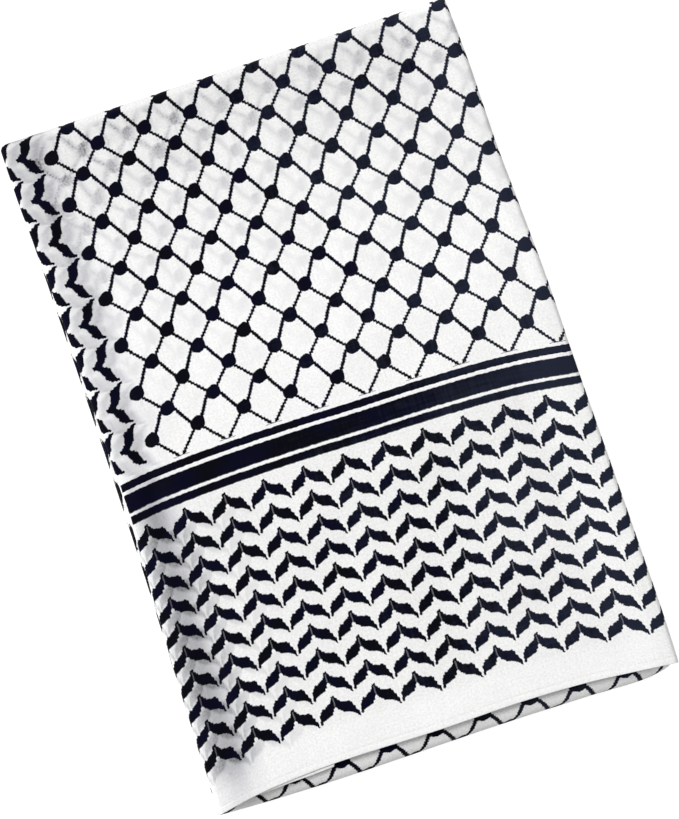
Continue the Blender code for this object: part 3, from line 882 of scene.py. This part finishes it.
def rolled_edges(x):
    """Sections of the stacked hems across the pile: a half circle for each roll, then the back."""
    edge, reach = along(HEM_LINE, x), np.interp(x, *np.array(HEM_REACH).T)
    angle = np.linspace(np.pi / 2.0, -np.pi / 2.0, 9)[None, :]
    level = np.ones_like(x)
    ys, zs = [edge + HEM_DEPTH], [level * ROLLS_TOP]
    for number, (setback, top, foot) in enumerate(ROLLS):
        radius = (top - foot) / 2.0
        wander = 0.25 * uneven_edge(x, 2.0 + number)
        front = edge + setback + wander - (reach if number == 0 else -0.5)
        back = edge + ROLL_FLAT
        ys += [back, front + radius - radius * np.cos(angle), back]
        round_it = (top + foot) / 2.0 + radius * np.sin(angle)
        zs += [level * top, level * round_it, level * foot]
    ys.append(edge + HEM_DEPTH)
    zs.append(level * ROLLS_FOOT)
    y, z = np.hstack(ys), np.hstack(zs)
    lift = relief(x, HEM_Y) * smooth((150.0 - abs(x)) / 8.0)
    return y, z + (lift - 0.1) * (z - ROLLS_FOOT) / (ROLLS_TOP - ROLLS_FOOT)


hem_x = np.sort(np.append(np.linspace(-143.0, 145.5, 116), [-75.5, -74.8, -74.0]))[:, None]
y, z = rolled_edges(hem_x)
x = np.repeat(hem_x, y.shape[1], axis=1)
points = np.stack([x, y, z], axis=-1)
uv = np.stack([x, 2.0 + 0.2 * length_run(y, z)], axis=-1)  # on the plain white by the hem's edge
end_hems = sheet_mesh("end_hem_rolls", points, uv, outer_cotton, closed=True)
close_ends(end_hems, points.shape[1])
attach(end_hems, "root")
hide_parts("end_hems")

# Hem stitching: a running stitch in white thread that holds the turned-under hem of the top
# third, 4 mm in from its edge. Each stitch is a short rounded bar pressed into the cloth.
STITCH_PITCH = 3.1
STITCH_LENGTH = 2.2
THREAD = 0.17  # half its thickness
STITCH_LIFT = 0.04  # of its middle line above the cloth's top


def stitches():
    """Points of every stitch: stitch, along its length, round it.

    A stitch is a tube whose radius is an ellipse along its length, laid on the cloth's top.
    """
    middle = np.arange(-144.0, 145.0, STITCH_PITCH)[:, None, None]
    share = np.linspace(-1.0, 1.0, 7)[None, :, None]
    round_it = np.linspace(0.0, 2.0 * np.pi, 7)[None, None, :-1]
    swell = THREAD * np.sqrt(1.02 - share**2)
    x = middle + 0.5 * STITCH_LENGTH * share
    y = HEM_Y + STITCH_V + hem_share(HEM_Y + STITCH_V) * (along(HEM_LINE, x) - HEM_Y)
    y = y + swell * np.cos(round_it) + 0.12 * np.sin(1.7 * middle)
    from_side = 154.0 - abs(x)
    lift = relief(x, HEM_Y + STITCH_V) * smooth((from_side - 3.0) / 8.0)
    z = top_height(HEM_Y) + lift - EDGE_DROOP * np.exp(-((from_side / EDGE_DROOP_WIDTH) ** 2))
    z = z + STITCH_LIFT + swell * np.sin(round_it)
    return np.stack(np.broadcast_arrays(x, y, z), axis=-1)


thread = bpy.data.materials.new("white_sewing_thread")
thread.use_nodes = True
shader = thread.node_tree.nodes["Principled BSDF"]
place = Signal(thread.node_tree, None).node("ShaderNodeTexCoord", (), (), 3)
strands = place.node("ShaderNodeTexNoise", (), {"Vector": place, "Scale": 2600.0, "Detail": 2.0})
tone = place.node("ShaderNodeMix", {"data_type": "RGBA"},
                  {0: strands, 6: (0.78, 0.78, 0.77, 1.0), 7: (0.9, 0.9, 0.88, 1.0)}, 2)
thread.node_tree.links.new(tone.socket, shader.inputs["Base Color"])
shader.inputs["Roughness"].default_value = 0.6
points = stitches()
count, length, around = points.shape[:3]
grid = np.arange(count * length * around).reshape(count, length, around)
beside = np.roll(grid, -1, axis=2)
quads = np.stack([grid[:, :-1], beside[:, :-1], beside[:, 1:], grid[:, 1:]], axis=-1).reshape(-1, 4)
ends = [list(map(int, ring)) for ring in np.concatenate([grid[:, 0, ::-1], grid[:, -1]])]
hem_stitching = mesh_object("hem_stitching", points, quads[:, ::-1].tolist() + ends, thread)
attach(hem_stitching, "root")

# Floor, light and camera: a plain white table under a wide soft sky, seen from straight above.
bpy.ops.mesh.primitive_plane_add(size=4.0, location=(0.0, 0.0, -0.0004))
floor = bpy.context.object
floor.name = "floor"
paint = bpy.data.materials.new("white_table")
paint.use_nodes = True
shader = paint.node_tree.nodes["Principled BSDF"]
shader.inputs["Base Color"].default_value = (0.35, 0.35, 0.35, 1.0)
shader.inputs["Emission Color"].default_value = (1.0, 1.0, 1.0, 1.0)
shader.inputs["Emission Strength"].default_value = 0.85
shader.inputs["Roughness"].default_value = 0.9
shader.inputs["Specular IOR Level"].default_value = 0.1
floor.data.materials.append(paint)

world = bpy.data.worlds.new("studio")
world.use_nodes = True
world.node_tree.nodes["Background"].inputs["Color"].default_value = (1.0, 1.0, 1.0, 1.0)
world.node_tree.nodes["Background"].inputs["Strength"].default_value = 0.33
bpy.context.scene.world = world


def soft_light(name, place, aim, size, power):
    """A square area light at one place, turned to look at another."""
    lamp = bpy.data.lights.new(name, "AREA")
    lamp.size = size
    lamp.energy = power
    made = bpy.data.objects.new(name, lamp)
    made.location = place
    made.rotation_euler = (Vector(aim) - Vector(place)).to_track_quat("-Z", "Y").to_euler()
    bpy.context.scene.collection.objects.link(made)


soft_light("key", (-7.8, 4.05, 6.9), (0.0, 0.0, 0.0), 4.2, 1350.0)
soft_light("fill", (1.2, 0.2, 2.2), (0.0, 0.0, 0.0), 1.6, 11.0)

DISTANCE = 2.5  # of the camera above the table, in metres
PILE_TOP = 0.017  # and of the pile's top, about its middle
FRAME_HEIGHT = 0.5233  # what the frame's height covers at the top of the pile, in metres
SENSOR = 36.0
ROLL = np.radians(-18.5)
camera = bpy.data.cameras.new("camera")
camera.sensor_width = SENSOR
camera.lens = SENSOR * (DISTANCE - PILE_TOP) / FRAME_HEIGHT
viewer = bpy.data.objects.new("camera", camera)
viewer.location = (0.0008, -0.002, DISTANCE)
viewer.rotation_euler = (0.0, 0.0, ROLL)
bpy.context.scene.collection.objects.link(viewer)
bpy.context.scene.camera = viewer
bpy.context.scene.view_settings.view_transform = "Standard"
